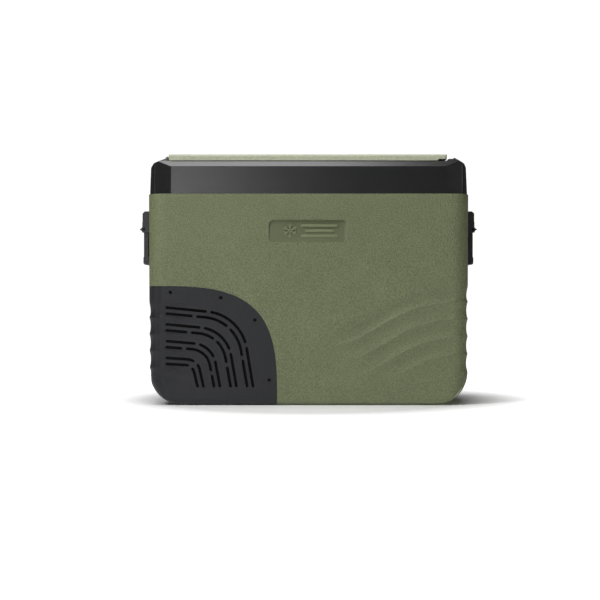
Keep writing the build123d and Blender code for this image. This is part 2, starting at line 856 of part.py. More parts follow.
with BuildPart() as base_plate:
    add(block_between((-223.6, -159.6, cabinet_bottom), (-60, 159.6, plate_top)))
    with BuildSketch(Plane.XY.offset(plate_top)):
        with Locations((compressor_x, compressor_y)):
            with Locations(*mount_places):
                Circle(4)
    extrude(amount=3)
    with BuildSketch(Plane.XY.offset(cabinet_bottom)):
        with Locations(*left_feet):
            Circle(4)
    extrude(amount=plate_top - cabinet_bottom, mode=Mode.SUBTRACT)
save(base_plate.part, "base_plate")

with BuildPart() as feet:
    with BuildSketch(Plane.XY):
        with Locations(*left_feet, *right_feet):
            Circle(13)
    extrude(amount=cabinet_bottom)
    with BuildSketch(Plane.XY.offset(cabinet_bottom)):
        with Locations(*left_feet, *right_feet):
            Circle(3.8)
    extrude(amount=1.8)
save(feet.part, "rubber_feet")

# --- Compressor --------------------------------------------------------------------------------

discharge_x = -165.0
suction_x = -135.0
stub_z = 84.0
pipe_start_y = 118.0

with BuildPart() as compressor:
    with BuildSketch(Plane.XZ.offset(-compressor_y)):
        with BuildLine():
            Polyline(
                (compressor_x, compressor_base + 110),
                (compressor_x, compressor_base),
                (compressor_x + compressor_radius - 6, compressor_base),
                (compressor_x + compressor_radius, compressor_base + 14),
                (compressor_x + compressor_radius, compressor_base + 62),
            )
            Spline(
                (compressor_x + compressor_radius, compressor_base + 62),
                (compressor_x + 36, compressor_base + 98),
                (compressor_x, compressor_base + 110),
                tangents=((0, 1), (-1, 0)),
            )
        make_face()
    revolve(axis=Axis((compressor_x, compressor_y, 0), (0, 0, 1)))
    with BuildSketch(Plane.XY.offset(compressor_base + 58)):
        with Locations((compressor_x, compressor_y)):
            Circle(compressor_radius + 2.5)
    extrude(amount=4)
    with BuildSketch(Plane.XY.offset(compressor_base - 4)):
        with Locations((compressor_x, compressor_y)):
            RectangleRounded(96, 96, 10)
            with Locations(*mount_places):
                Circle(4.6, mode=Mode.SUBTRACT)
    extrude(amount=4)
    for stub_x in (discharge_x, suction_x):
        add(bar_y(stub_x, stub_z, 3.5, compressor_y + 30, pipe_start_y))
save(compressor.part, "compressor")

with BuildPart() as compressor_mounts:
    for dx, dy in mount_places:
        with BuildSketch(Plane.XY.offset(plate_top)):
            with Locations((compressor_x + dx, compressor_y + dy)):
                Circle(9)
                Circle(4.2, mode=Mode.SUBTRACT)
        extrude(amount=compressor_base - 4 - plate_top)
        with BuildSketch(Plane.XY.offset(compressor_base)):
            with Locations((compressor_x + dx, compressor_y + dy)):
                Circle(7)
        extrude(amount=3)
        with BuildSketch(Plane.XY.offset(compressor_base - 4)):
            with Locations((compressor_x + dx, compressor_y + dy)):
                Circle(4.4)
        extrude(amount=4)
save(compressor_mounts.part, "compressor_mounts")

# --- Condenser and fan -------------------------------------------------------------------------

with BuildPart() as condenser:
    add(block_between((-262, fan_y - 58, 44), (-260.6, fan_y + 58, 160)))
    add(block_between((-241.4, fan_y - 58, 44), (-240, fan_y + 58, 160)))
    for index in range(24):
        y = fan_y - 56 + index * 4.87
        add(block_between((-261, y - 0.35, 46), (-241, y + 0.35, 158)))
    for index in range(6):
        with BuildSketch(Plane.XZ.offset(-(fan_y - 62))):
            with Locations((-251, 56 + index * 18.4)):
                Circle(3.2)
        extrude(amount=-124)
    add(block_between((-262, fan_y - 58, 44), (-240, fan_y - 56.6, 160)))
    add(block_between((-262, fan_y + 56.6, 44), (-240, fan_y + 58, 160)))
save(condenser.part, "condenser")

with BuildPart() as fan_housing:
    with BuildSketch(Plane.YZ.offset(-236)):
        with Locations((fan_y, fan_z)):
            RectangleRounded(104, 104, 6)
            Circle(fan_radius + 3, mode=Mode.SUBTRACT)
    extrude(amount=25)
    with BuildSketch(Plane.YZ.offset(-214)):
        with Locations((fan_y, fan_z)):
            Circle(16)
            Rectangle(5, 96)
            Rectangle(96, 5)
            Circle(2, mode=Mode.SUBTRACT)
    extrude(amount=3)
save(fan_housing.part, "fan_housing")

with BuildPart() as fan_rotor:
    with BuildSketch(Plane.YZ.offset(-234)):
        with Locations((fan_y, fan_z)):
            Circle(16)
    extrude(amount=19)
    with BuildSketch(Plane.YZ.offset(-215)):
        with Locations((fan_y, fan_z)):
            Circle(1.95)
    extrude(amount=4)
    for index in range(7):
        blade_plane = Plane(
            origin=(fan_x - 3.6, fan_y, fan_z),
            x_dir=(1, 0, 0),
            z_dir=(0, cos(2 * pi * index / 7), sin(2 * pi * index / 7)),
        )
        with BuildSketch(blade_plane.offset(12)):
            Rectangle(1.8, 24, rotation=42)
        with BuildSketch(blade_plane.offset(fan_radius)):
            Rectangle(1.4, 23, rotation=58)
        loft()
save(fan_rotor.part, "fan_rotor")

# --- Refrigerant circuit -----------------------------------------------------------------------


def pipe(points, radius, bend):
    """Round pipe along a path with rounded bends."""
    with BuildPart() as run:
        with BuildLine() as path:
            FilletPolyline(*points, radius=bend)
        with BuildSketch(Plane(path.wire() @ 0, z_dir=path.wire() % 0)):
            Circle(radius)
        sweep()
    return run.part


with BuildPart() as filter_drier:
    with BuildSketch(Plane.XY.offset(60)):
        with Locations((-206, 130)):
            Circle(9)
    extrude(amount=80)
    with BuildSketch(Plane.XY.offset(52)):
        with Locations((-206, 130)):
            Circle(4)
    extrude(amount=96)
save(filter_drier.part, "filter_drier")

condenser_x = -251.0
condenser_end_y = fan_y + 62
condenser_low = 56.0
condenser_high = 148.0

discharge_points = [
    (discharge_x, pipe_start_y, stub_z),
    (discharge_x, 144.5, stub_z),
    (discharge_x, 144.5, condenser_low),
    (condenser_x, 144.5, condenser_low),
    (condenser_x, condenser_end_y, condenser_low),
]
liquid_points = [
    (condenser_x, condenser_end_y, condenser_high),
    (condenser_x, 100, condenser_high),
    (condenser_x, 100, 170),
    (-206, 130, 170),
    (-206, 130, condenser_high),
]
suction_points = [
    (suction_x, pipe_start_y, stub_z),
    (suction_x, 142, stub_z),
    (suction_x, 142, 188),
]
capillary_points = [
    (-206, 130, 52),
    (-206, 130, 36),
    (-206, 160, 36),
    (-206, 160, 180),
    (-160, 150, 180),
    (-160, 150, 194),
]
save(pipe(discharge_points, 2.5, 8), "discharge_pipe")
save(pipe(liquid_points, 2.5, 6), "liquid_pipe")
save(pipe(suction_points, 3.5, 9), "suction_pipe")
save(pipe(capillary_points, 1.2, 5), "capillary_tube")

# --- Power electronics and inlets --------------------------------------------------------------

with BuildPart() as power_module:
    add(block_between((-196, -150, 10), (-96, -96, 52)))
    for index in range(12):
        x = -190 + index * 8
        add(block_between((x, -148, 52), (x + 2, -98, 66)))
    for corner in ((-190, -144), (-102, -144), (-190, -102), (-102, -102)):
        with BuildSketch(Plane.XY.offset(plate_top)):
            with Locations(corner):
                Circle(4)
        extrude(amount=6)
save(power_module.part, "power_module")

with BuildPart() as low_voltage_inlet:
    with BuildSketch(Plane.XZ.offset(-half_depth)):
        with Locations(low_voltage_place):
            RectangleRounded(26, 16, 3.8)
            RectangleRounded(21, 11, 3, mode=Mode.SUBTRACT)
    extrude(amount=20)
    with BuildSketch(Plane.XZ.offset(-half_depth + 16)):
        with Locations(low_voltage_place):
            RectangleRounded(26, 16, 3.8)
    extrude(amount=4)
    with BuildSketch(Plane.XZ.offset(-half_depth + 4)):
        with Locations((-237.5, 48), (-226.5, 48)):
            Rectangle(2, 5)
    extrude(amount=13)
save(low_voltage_inlet.part, "low_voltage_inlet")

with BuildPart() as mains_inlet:
    with BuildSketch(Plane.XZ.offset(-half_depth)):
        with Locations(mains_place):
            RectangleRounded(24, 14, 3.8)
            RectangleRounded(19, 9, 3, mode=Mode.SUBTRACT)
    extrude(amount=20)
    with BuildSketch(Plane.XZ.offset(-half_depth + 16)):
        with Locations(mains_place):
            RectangleRounded(24, 14, 3.8)
    extrude(amount=4)
    with BuildSketch(Plane.XZ.offset(-half_depth + 4)):
        with Locations((-188.5, 30), (-179.5, 30)):
            Circle(1.2)
    extrude(amount=13)
save(mains_inlet.part, "mains_inlet")

# --- Interior light ----------------------------------------------------------------------------

with BuildPart() as interior_light:
    with BuildSketch(Plane.XZ.offset(-(tub_half_depth - 4))):
        with Locations((60, 385)):
            RectangleRounded(70, 14, 5)
    extrude(amount=-4)
    fillet(interior_light.faces().sort_by(Axis.Y)[0].edges(), 1.5)
save(interior_light.part, "interior_light")

# --- Wire basket: a floor grid and four side grids ----------------------------------------------

wire_radius = 1.6
rim_radius = 2.4
upright_radius = 1.4
basket_left, basket_right = -28.5, 210.0
basket_half_depth = 122.0
basket_bottom, basket_rim = tub_floor + 2.0, 300.0
basket_corner = 10.0
basket_middle = (basket_left + basket_right) / 2
basket_length = basket_right - basket_left
hoop_levels = ((basket_rim, rim_radius), (214.0, wire_radius), (130.0, wire_radius))
upright_bottom = basket_bottom + wire_radius
upright_top = basket_rim - 1
long_places = [basket_left + 24 + index * (basket_length - 48) / 7 for index in range(8)]
short_places = [-basket_half_depth + 26 + index * (2 * basket_half_depth - 52) / 6 for index in range(7)]


def upright(x, y):
    """Upright wire from the floor hoop to the rim."""
    with BuildPart() as wire:
        with BuildSketch(Plane.XY.offset(upright_bottom)):
            with Locations((x, y)):
                Circle(upright_radius)
        extrude(amount=upright_top - upright_bottom)
    return wire.part


with BuildPart() as basket_floor:
    floor_centre = (basket_middle, 0, basket_bottom)
    add(wire_hoop(floor_centre, basket_length, 2 * basket_half_depth, basket_corner, wire_radius))
    for x in long_places:
        add(bar_y(x, basket_bottom, wire_radius, -basket_half_depth, basket_half_depth))
    for y in short_places:
        with BuildSketch(Plane.YZ.offset(basket_left)):
            with Locations((y, basket_bottom)):
                Circle(wire_radius)
        extrude(amount=basket_length)
save(basket_floor.part, "basket_floor")

for side, face_name in ((-1, "front"), (1, "back")):
    y = side * basket_half_depth
    with BuildPart() as basket_face:
        for level, radius in hoop_levels:
            with BuildSketch(Plane.YZ.offset(basket_left + basket_corner)):
                with Locations((y, level)):
                    Circle(radius)
            extrude(amount=basket_length - 2 * basket_corner)
        for x in long_places:
            add(upright(x, y))
    save(basket_face.part, f"basket_{face_name}")

for side, end_x, end_name in ((-1, basket_left, "left"), (1, basket_right, "right")):
    low, high = sorted((end_x + side * 2 * rim_radius, end_x - side * basket_corner))
    with BuildPart() as basket_end:
        for level, radius in hoop_levels:
            hoop_centre = (basket_middle, 0, level)
            hoop_depth = 2 * basket_half_depth
            add(wire_hoop(hoop_centre, basket_length, hoop_depth, basket_corner, radius))
        add(block_between((low, -140, 100), (high, 140, 320)), mode=Mode.INTERSECT)
        for y in short_places:
            add(upright(end_x, y))
    save(basket_end.part, f"basket_{end_name}")
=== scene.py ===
import bmesh
import bpy
from math import atan2, cos, exp, hypot, pi, radians, sin, sqrt
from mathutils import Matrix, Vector
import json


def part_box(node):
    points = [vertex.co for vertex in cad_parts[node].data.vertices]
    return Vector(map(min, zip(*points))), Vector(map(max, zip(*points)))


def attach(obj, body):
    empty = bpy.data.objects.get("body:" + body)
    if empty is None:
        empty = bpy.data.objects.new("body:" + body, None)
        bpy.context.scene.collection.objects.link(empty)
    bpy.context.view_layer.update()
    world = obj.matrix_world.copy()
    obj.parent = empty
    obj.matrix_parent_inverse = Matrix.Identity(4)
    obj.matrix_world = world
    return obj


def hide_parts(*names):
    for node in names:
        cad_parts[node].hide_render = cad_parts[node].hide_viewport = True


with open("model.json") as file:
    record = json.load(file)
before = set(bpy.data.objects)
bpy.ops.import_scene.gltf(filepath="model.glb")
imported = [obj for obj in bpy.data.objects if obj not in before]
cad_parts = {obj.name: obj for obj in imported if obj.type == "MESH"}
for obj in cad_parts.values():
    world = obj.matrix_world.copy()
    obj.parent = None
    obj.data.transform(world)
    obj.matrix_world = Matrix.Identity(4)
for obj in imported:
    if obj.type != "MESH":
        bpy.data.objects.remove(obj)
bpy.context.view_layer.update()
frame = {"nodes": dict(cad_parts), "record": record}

# Compressor cooler fridge. Metres: X along the length, front at -Y, Z up.

# Cabinet outline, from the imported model's own boxes
shell_low, shell_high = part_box("outer_shell")
HALF_LENGTH = shell_high[0]
HALF_DEPTH = shell_high[1]
CABINET_BOTTOM = shell_low[2]
SEAM = shell_high[2]
CORNER = 0.030
END_RADIUS = 0.057
FRONT_BOTTOM_RADIUS = 0.009
WALL = 0.004
DRAFT = 0.0012

# Flutes of the green shell: level at the right end, sweeping down towards the middle of the front
FLUTE_TOP = 0.2172
FLUTE_PITCH = 0.0307
FLUTE_COUNT = 5
FLUTE_DEPTH = 0.0032
SWEEP_DROP = 0.088
SWEEP_WIDTH = 0.036
SWEEP_CENTRE = 0.122
SWEEP_STEP = 0.008
SWEEP_LIMIT = 0.262
CORNER_FADE = 0.62
FLUTE_START = -0.05

# Mesh spacing
COLUMN_SPACING = 0.0017
ROW_SPACING = 0.00155
COVER_ROW_SPACING = 0.0016
LIP_RADIUS = 0.0014

# Vent cover: a superellipse corner, with slots in close pairs
VENT_CENTRE = -0.282
VENT_LENGTH = 0.226
VENT_HEIGHT = 0.212
VENT_POWER = 3.4
SLOT_WIDTH = 0.0050
SLOT_START = -0.252
SLOT_TOP = 0.1734
SLOT_FOOT = 0.034
SLOT_CORNER_X = -0.120
SLOT_CORNER_Z = 0.1605
CORNER_SHIFT_X = 0.862
CORNER_SHIFT_Z = 0.897
SLOT_FINISH_X = -0.0989
FINISH_SHIFT = 0.985
SLOT_RADIUS = 0.078
RADIUS_SHIFT = 0.61
SLOT_PITCH = 0.0298
SLOT_PAIR_GAP = 0.0106
SLOT_BRIDGE = 0.0060
SIDE_SLOT_SPACING = 0.076
SIDE_SLOT_HALF = 0.032
SCREW_HOLE = 0.0068
SCREW_PLACES = ((-0.2455, 0.2005), (-0.156, 0.191), (-0.0957, 0.1515), (-0.070, 0.0447))
# Where each slot is bridged, as fractions of its length, from the outermost slot in
SLOT_BRIDGES = (
    (0.307, 0.696),
    (0.218, 0.508, 0.775),
    (0.324, 0.677),
    (0.224, 0.502, 0.785),
    (0.374, 0.662),
    (0.239, 0.818),
    (0.546,),
    (0.530,),
)

# Flutes of the vent cover
COVER_CREASES = (0.187, 0.156, 0.126, 0.0965, 0.066)
COVER_LAST_CREASE = 0.036
COVER_FLUTE_DEPTH = 0.0026
COVER_LEAN = 0.07
COVER_LEAN_START = -0.262
COVER_FADE = (-0.255, -0.185)

# Inlet panel on the back
INLET_CENTRE = (-0.208, 0.040)
INLET_SIZE = (0.0824, 0.0444)

# Badge recess, and the crystal and bars raised in it
BADGE_LENGTH = 0.142
BADGE_HEIGHT = 0.040
BADGE_LEVEL = 0.310
CRYSTAL_X = -0.033
CRYSTAL_ARMS = 6
ARM_START = 0.001
ARM_END = 0.0125
BARB_START = 0.0070
BARB_LENGTH = 0.0048
BARB_LEAN = radians(48)
BARS_X = 0.019
BAR_PITCH = 0.0092
BAR_WIDTH = 0.005
BADGE_THICKNESS = 0.003


def smoothstep(low, high, value):
    """0 below low, 1 above high, and a smooth rise between."""
    t = min(max((value - low) / (high - low), 0.0), 1.0)
    return t * t * (3 - 2 * t)


# --- Materials -----------------------------------------------------------------------------------


class Nodes:
    """Small helper that builds one procedural material."""

    def __init__(self, name):
        self.material = bpy.data.materials.new(name)
        self.material.use_nodes = True
        self.tree = self.material.node_tree
        self.shader = self.tree.nodes["Principled BSDF"]
        self.place = self.tree.nodes.new("ShaderNodeTexCoord").outputs["Object"]

    def new(self, kind, **inputs):
        node = self.tree.nodes.new(kind)
        for key, value in inputs.items():
            node.inputs[key].default_value = value
        return node

    def link(self, source, target):
        self.tree.links.new(source, target)

    def noise(self, size, detail=2.0, roughness=0.5):
        """Noise whose features are about that size in metres."""
        node = self.new("ShaderNodeTexNoise", Scale=1 / size, Detail=detail, Roughness=roughness)
        self.link(self.place, node.inputs["Vector"])
        return node.outputs["Fac"]

    def cells(self, size):
        """Voronoi cell distance, for pebbled grain."""
        node = self.new("ShaderNodeTexVoronoi", Scale=1 / size)
        node.feature = "SMOOTH_F1"
        self.link(self.place, node.inputs["Vector"])
        return node.outputs["Distance"]

    def span(self, value, low, high, start=0.0, stop=1.0):
        """Map a 0..1 value to a range."""
        node = self.tree.nodes.new("ShaderNodeMapRange")
        node.inputs["From Min"].default_value = start
        node.inputs["From Max"].default_value = stop
        node.inputs["To Min"].default_value = low
        node.inputs["To Max"].default_value = high
        self.link(value, node.inputs["Value"])
        return node.outputs["Result"]

    def math(self, operation, first, second):
        node = self.tree.nodes.new("ShaderNodeMath")
        node.operation = operation
        for socket, value in zip(node.inputs, (first, second)):
            if isinstance(value, (int, float)):
                socket.default_value = value
            else:
                self.link(value, socket)
        return node.outputs["Value"]

    def blend(self, factor, first, second):
        """Mix two colours, each a tuple or a socket."""
        node = self.tree.nodes.new("ShaderNodeMix")
        node.data_type = "RGBA"
        self.link(factor, node.inputs["Factor"])
        for socket, value in ((node.inputs[6], first), (node.inputs[7], second)):
            if isinstance(value, tuple):
                socket.default_value = (*value, 1.0)
            else:
                self.link(value, socket)
        return node.outputs[2]

    def scale(self, colour, factor):
        """Multiply a colour by a value."""
        node = self.tree.nodes.new("ShaderNodeVectorMath")
        node.operation = "SCALE"
        self.link(colour, node.inputs[0])
        self.link(factor, node.inputs["Scale"])
        return node.outputs["Vector"]

    def bump(self, height, strength, distance, normal=None):
        node = self.new("ShaderNodeBump", Strength=strength, Distance=distance)
        self.link(height, node.inputs["Height"])
        if normal is not None:
            self.link(normal, node.inputs["Normal"])
        return node.outputs["Normal"]

    def rounded_edges(self, radius):
        node = self.new("ShaderNodeBevel", Radius=radius)
        node.samples = 4
        return node.outputs["Normal"]


def shade(colour, factor):
    return tuple(min(c * factor, 1.0) for c in colour)


def moulded(
    name,
    colour,
    rough,
    grain=0.0016,
    depth=0.00010,
    strength=0.6,
    mottle=0.06,
    edge=0.0,
    edge_lift=1.25,
    specular=0.5,
    coat=0.0,
    fleck=0.05,
    uneven=0.03,
):
    """Moulded or painted surface: pebbled grain, uneven gloss, colour drift and lighter edges."""
    m = Nodes(name)
    drift = m.span(m.noise(0.09, detail=3.0), 0.0, 1.0, 0.3, 0.7)
    colour_a = m.blend(drift, shade(colour, 1 - mottle), shade(colour, 1 + mottle))
    speck = m.span(m.noise(grain, detail=1.0), 1 - fleck, 1 + fleck, 0.38, 0.62)
    grained = m.scale(colour_a, speck)
    # Sharp convex edges (high pointiness) are lightened towards the colour times edge_lift.
    geometry = m.tree.nodes.new("ShaderNodeNewGeometry")
    most_edge_lift = 0.6 if edge_lift > 1 else 0.0
    edges = m.span(geometry.outputs["Pointiness"], 0.0, most_edge_lift, 0.56, 0.66)
    edge_lightened = m.blend(edges, grained, shade(colour, edge_lift))
    m.link(edge_lightened, m.shader.inputs["Base Color"])
    gloss = m.span(m.noise(0.05, detail=2.0), rough - uneven, rough + uneven, 0.2, 0.8)
    m.link(gloss, m.shader.inputs["Roughness"])
    normal = m.rounded_edges(edge) if edge else None
    pebbles = m.math("MULTIPLY", m.cells(grain), 0.7)
    fine_grain = m.math("MULTIPLY", m.noise(grain * 0.6), 0.5)
    height = m.math("ADD", pebbles, fine_grain)
    m.link(m.bump(height, strength, depth, normal), m.shader.inputs["Normal"])
    m.shader.inputs["Specular IOR Level"].default_value = specular
    m.shader.inputs["Coat Weight"].default_value = coat
    return m.material


def smooth_surface(name, colour, rough, metal=0.0, brushed=0.0, edge=0.0004, glow=None):
    """Smooth plastic, metal, rubber or lens with fine streaks or dimples and uneven gloss."""
    m = Nodes(name)
    drift = m.span(m.noise(0.02, detail=3.0), 0.0, 1.0, 0.3, 0.7)
    m.link(m.blend(drift, shade(colour, 0.94), shade(colour, 1.06)), m.shader.inputs["Base Color"])
    gloss = m.span(m.noise(0.006, detail=4.0), max(rough - 0.06, 0.03), rough + 0.08, 0.3, 0.7)
    m.link(gloss, m.shader.inputs["Roughness"])
    if brushed:
        stretch = m.new("ShaderNodeMapping", Scale=(40.0, 2500.0, 2500.0))
        m.link(m.place, stretch.inputs["Vector"])
        streak = m.new("ShaderNodeTexNoise", Scale=1.0, Detail=2.0)
        m.link(stretch.outputs["Vector"], streak.inputs["Vector"])
        height = streak.outputs["Fac"]
    else:
        height = m.noise(0.0012, detail=2.0)
    normal = m.rounded_edges(edge) if edge else None
    m.link(m.bump(height, 0.25, 0.00005 + brushed * 0.00003, normal), m.shader.inputs["Normal"])
    m.shader.inputs["Metallic"].default_value = metal
    if glow:
        m.shader.inputs["Emission Color"].default_value = (*glow, 1.0)
        m.shader.inputs["Emission Strength"].default_value = 0.6
    return m.material


GREEN = (0.130, 0.153, 0.072)
LID_GREEN = (0.400, 0.416, 0.300)
COVER = (0.013, 0.0133, 0.0155)
FRAME_BLACK = (0.010, 0.0102, 0.0108)

looks = {
    "green_shell": moulded(
        "green_shell_grain", GREEN, 0.46,
        grain=0.0021, depth=0.0014, strength=1.0, mottle=0.05, fleck=0.19,
    ),
    # Badge recess liner: the shell's green darkened to 0.80 as painted shade in the recess.
    "badge_recess_painted_shade": moulded(
        "badge_recess_green_painted_shade", shade(GREEN, 0.80), 0.30,
        grain=0.0012, depth=0.00005, fleck=0.04,
    ),
    # Raised badge crystal and bars: the shell's green lightened to 1.12 as a painted highlight on
    # the raised relief.
    "badge_raised": moulded(
        "badge_raised_green_painted_highlight", shade(GREEN, 1.12), 0.32,
        grain=0.0010, depth=0.00003, fleck=0.03,
    ),
    "green_lid": moulded(
        "green_lid_grain", LID_GREEN, 0.46,
        grain=0.0026, depth=0.0008, strength=0.9, mottle=0.05, fleck=0.12, edge=0.0008,
    ),
    "black_cover": moulded(
        "vent_cover_grain", COVER, 0.42,
        grain=0.0018, depth=0.00025, mottle=0.1, edge_lift=1.6, specular=0.3,
    ),
    "black_frame": moulded(
        "frame_satin", FRAME_BLACK, 0.24,
        grain=0.0014, depth=0.00008, mottle=0.06, edge=0.0012, edge_lift=1.0, specular=0.5, uneven=0.01,
    ),
    "handle_black": moulded(
        "handle_satin", (0.008, 0.008, 0.009), 0.42,
        grain=0.0012, depth=0.00007, mottle=0.1, edge=0.0008, edge_lift=2.2,
    ),
    "panel_black": moulded(
        "panel_satin", (0.014, 0.014, 0.016), 0.38,
        grain=0.001, depth=0.00005, mottle=0.1, edge=0.0003, edge_lift=2.0,
    ),
    "grey_plastic": moulded("bay_wall_plastic", (0.16, 0.16, 0.165), 0.6, mottle=0.08),
    "liner_white": moulded(
        "liner_gloss", (0.70, 0.72, 0.735), 0.30,
        grain=0.002, depth=0.00003, strength=0.4, mottle=0.02, edge=0.001, edge_lift=1.05,
    ),
    # Filter screen behind the vent slots, made near-black so the slots show painted shade inside
    # the bay.
    "filter_mesh": moulded(
        "filter_weave_painted_shade", (0.004, 0.004, 0.004), 0.9,
        grain=0.001, depth=0.0003, mottle=0.1, specular=0.1,
    ),
    "foam": moulded(
        "foam_cells", (0.70, 0.62, 0.42), 0.85,
        grain=0.0012, depth=0.0004, strength=1.0, mottle=0.08,
    ),
    "soft_rubber": moulded(
        "soft_rubber", (0.018, 0.018, 0.018), 0.75,
        grain=0.0008, depth=0.00006, mottle=0.15, edge=0.0004, edge_lift=1.6,
    ),
    "latch_plastic": moulded(
        "latch_plastic", (0.055, 0.056, 0.058), 0.4,
        grain=0.001, depth=0.00005, mottle=0.08, edge=0.0008, edge_lift=1.6,
    ),
    "display": smooth_surface("display_glass", (0.010, 0.014, 0.020), 0.12, edge=0.0003),
    "button_grey": moulded(
        "button_rubber", (0.16, 0.165, 0.17), 0.6,
        grain=0.0007, depth=0.00004, mottle=0.06, edge_lift=1.3,
    ),
    "board_green": smooth_surface("board_mask", (0.012, 0.09, 0.035), 0.35),
    "light_lens": smooth_surface("light_lens", (0.85, 0.86, 0.84), 0.35, glow=(1.0, 0.96, 0.9)),
    "bright_steel": smooth_surface(
        "bright_steel", (0.55, 0.55, 0.54), 0.28,
        metal=1.0, brushed=1.0, edge=0.0002,
    ),
    # Screw heads: black screws, made near-black with little shine as painted shade in their deep
    # holes.
    "dark_steel": moulded(
        "dark_screw_steel_painted_shade", (0.0025, 0.0025, 0.0027), 0.6,
        grain=0.001, depth=0.00003, specular=0.12,
    ),
    "zinc_steel": smooth_surface(
        "zinc_steel", (0.42, 0.42, 0.40), 0.42,
        metal=1.0, brushed=1.0, edge=0.0002,
    ),
    "black_enamel": moulded(
        "black_enamel", (0.012, 0.012, 0.012), 0.25,
        grain=0.003, depth=0.00005, mottle=0.1, edge=0.0008, edge_lift=1.6, coat=0.3,
    ),
    "fin_aluminium": smooth_surface(
        "fin_aluminium", (0.62, 0.63, 0.64), 0.38,
        metal=1.0, brushed=1.0, edge=0.0,
    ),
    "copper": smooth_surface(
        "copper_tube", (0.60, 0.27, 0.13), 0.32,
        metal=1.0, brushed=0.6, edge=0.0,
    ),
    "basket_wire": smooth_surface("basket_coating", (0.62, 0.64, 0.645), 0.3, edge=0.0),
}

slot_of = {row["node"]: row["material_slot"] for row in frame["record"]["subparts"]}
for node, thing in frame["nodes"].items():
    look = looks[slot_of[node]]
    for place in thing.material_slots:
        place.material = look


# --- Mesh helpers --------------------------------------------------------------------------------


def make_object(name, verts, faces, look, smooth=35):
    """Mesh object from plain lists, shaded smooth up to the given edge angle."""
    mesh = bpy.data.meshes.new(name)
    mesh.from_pydata(verts, [], faces)
    mesh.validate()
    thing = bpy.data.objects.new(name, mesh)
    bpy.context.scene.collection.objects.link(thing)
    mesh.materials.append(looks[look])
    finish_shading(thing, smooth)
    return thing


def finish_shading(thing, smooth):
    """Point the faces outward, then keep edges sharper than the angle crisp."""
    shape = bmesh.new()
    shape.from_mesh(thing.data)
    bmesh.ops.recalc_face_normals(shape, faces=shape.faces)
    for face in shape.faces:
        face.smooth = True
    limit = radians(smooth)
    for edge in shape.edges:
        edge.smooth = len(edge.link_faces) == 2 and edge.calc_face_angle(0.0) < limit
    shape.to_mesh(thing.data)
    shape.free()


def prism_mesh(outline, y_front, y_back):
    """Vertices and faces of a prism along Y from a closed XZ outline."""
    count = len(outline)
    verts = [(x, y_front, z) for x, z in outline] + [(x, y_back, z) for x, z in outline]
    faces = [tuple(range(count)), tuple(range(2 * count - 1, count - 1, -1))]
    for i in range(count):
        j = (i + 1) % count
        faces.append((i, i + count, j + count, j))
    return verts, faces


def join_meshes(parts):
    """Join several (vertices, faces) pairs."""
    verts, faces = [], []
    for part_verts, part_faces in parts:
        base = len(verts)
        verts += part_verts
        faces += [tuple(i + base for i in face) for face in part_faces]
    return verts, faces


def cut(thing, verts, faces, operation="DIFFERENCE"):
    """Boolean the thing with a closed mesh and keep the result."""
    cutter = make_object("cutter", verts, faces, "green_shell")
    step = thing.modifiers.new("cut", "BOOLEAN")
    step.operation = operation
    step.solver = "EXACT"
    step.object = cutter
    apply_modifiers(thing)
    bpy.data.objects.remove(cutter)


def apply_modifiers(thing):
    """Replace the mesh with its modified result."""
    view = bpy.context.evaluated_depsgraph_get()
    view.update()
    result = bpy.data.meshes.new_from_object(thing.evaluated_get(view))
    thing.modifiers.clear()
    old = thing.data
    thing.data = result
    bpy.data.meshes.remove(old)


def keep_one_look(thing, look):
    thing.data.materials.clear()
    thing.data.materials.append(looks[look])
    for face in thing.data.polygons:
        face.material_index = 0


# --- Cabinet surface -----------------------------------------------------------------------------


def rounded_in(z, radius):
    """How far a bottom rounding pulls the wall in at that height."""
    rise = z - CABINET_BOTTOM
    if rise >= radius:
        return 0.0
    return radius - sqrt(max(radius**2 - (radius - rise) ** 2, 0.0))


def crease_level(index, x):
    """Height of one flute's upper crease at x: level at the right end, then sweeping down."""
    reach = min(x, SWEEP_LIMIT)
    centre = SWEEP_CENTRE + SWEEP_STEP * index
    drop = SWEEP_DROP / (1 + exp((reach - centre) / SWEEP_WIDTH))
    return FLUTE_TOP - FLUTE_PITCH * index - drop


def crease_end(index):
    """How far left a crease still shows."""
    return 0.004 + 0.011 * (index - 1) ** 2


def sweep_relief(x, z):
    """Depth of the sweeping flutes at a point of the front or an end."""
    for index in range(FLUTE_COUNT):
        high = crease_level(index, x)
        low = crease_level(index + 1, x)
        if low <= z <= high:
            t = (high - z) / (high - low)
            bowl = 6.75 * t * t * (1 - t) if index == 0 else 4 * t * (1 - t)
            start = crease_end(index + 1)
            return FLUTE_DEPTH * bowl * smoothstep(start - 0.02, start + 0.10, x)
    return 0.0


def cover_relief(x, z):
    """Depth of the vent cover's flutes: level round the end and fading on the front."""
    lean = max(x - COVER_LEAN_START, 0.0) * COVER_LEAN
    level = z + lean
    for high, low in zip(COVER_CREASES, COVER_CREASES[1:] + (COVER_LAST_CREASE,)):
        if low <= level <= high:
            t = (high - level) / (high - low)
            bowl = 6.75 * t * t * (1 - t) if high == COVER_CREASES[0] else 4 * t * (1 - t)
            if low == COVER_LAST_CREASE:
                bowl = 6.75 * t * (1 - t) ** 2
            return COVER_FLUTE_DEPTH * bowl * (1 - smoothstep(*COVER_FADE, x))
    return 0.0


def steps(low, high, count):
    return [low + (high - low) * i / count for i in range(count)]


def perimeter(front_x, side_y, back_x):
    """Columns round the plan as (kind, value): front left to right, right end, back, left end."""
    columns = [("front", x) for x in front_x]
    columns += [("corner0", t) for t in steps(0, 1, 14)]
    columns += [("right", y) for y in side_y]
    columns += [("corner1", t) for t in steps(0, 1, 12)]
    columns += [("back", -x) for x in back_x]
    columns += [("corner2", t) for t in steps(0, 1, 12)]
    columns += [("left", -y) for y in side_y]
    columns += [("corner3", t) for t in steps(0, 1, 14)]
    return columns


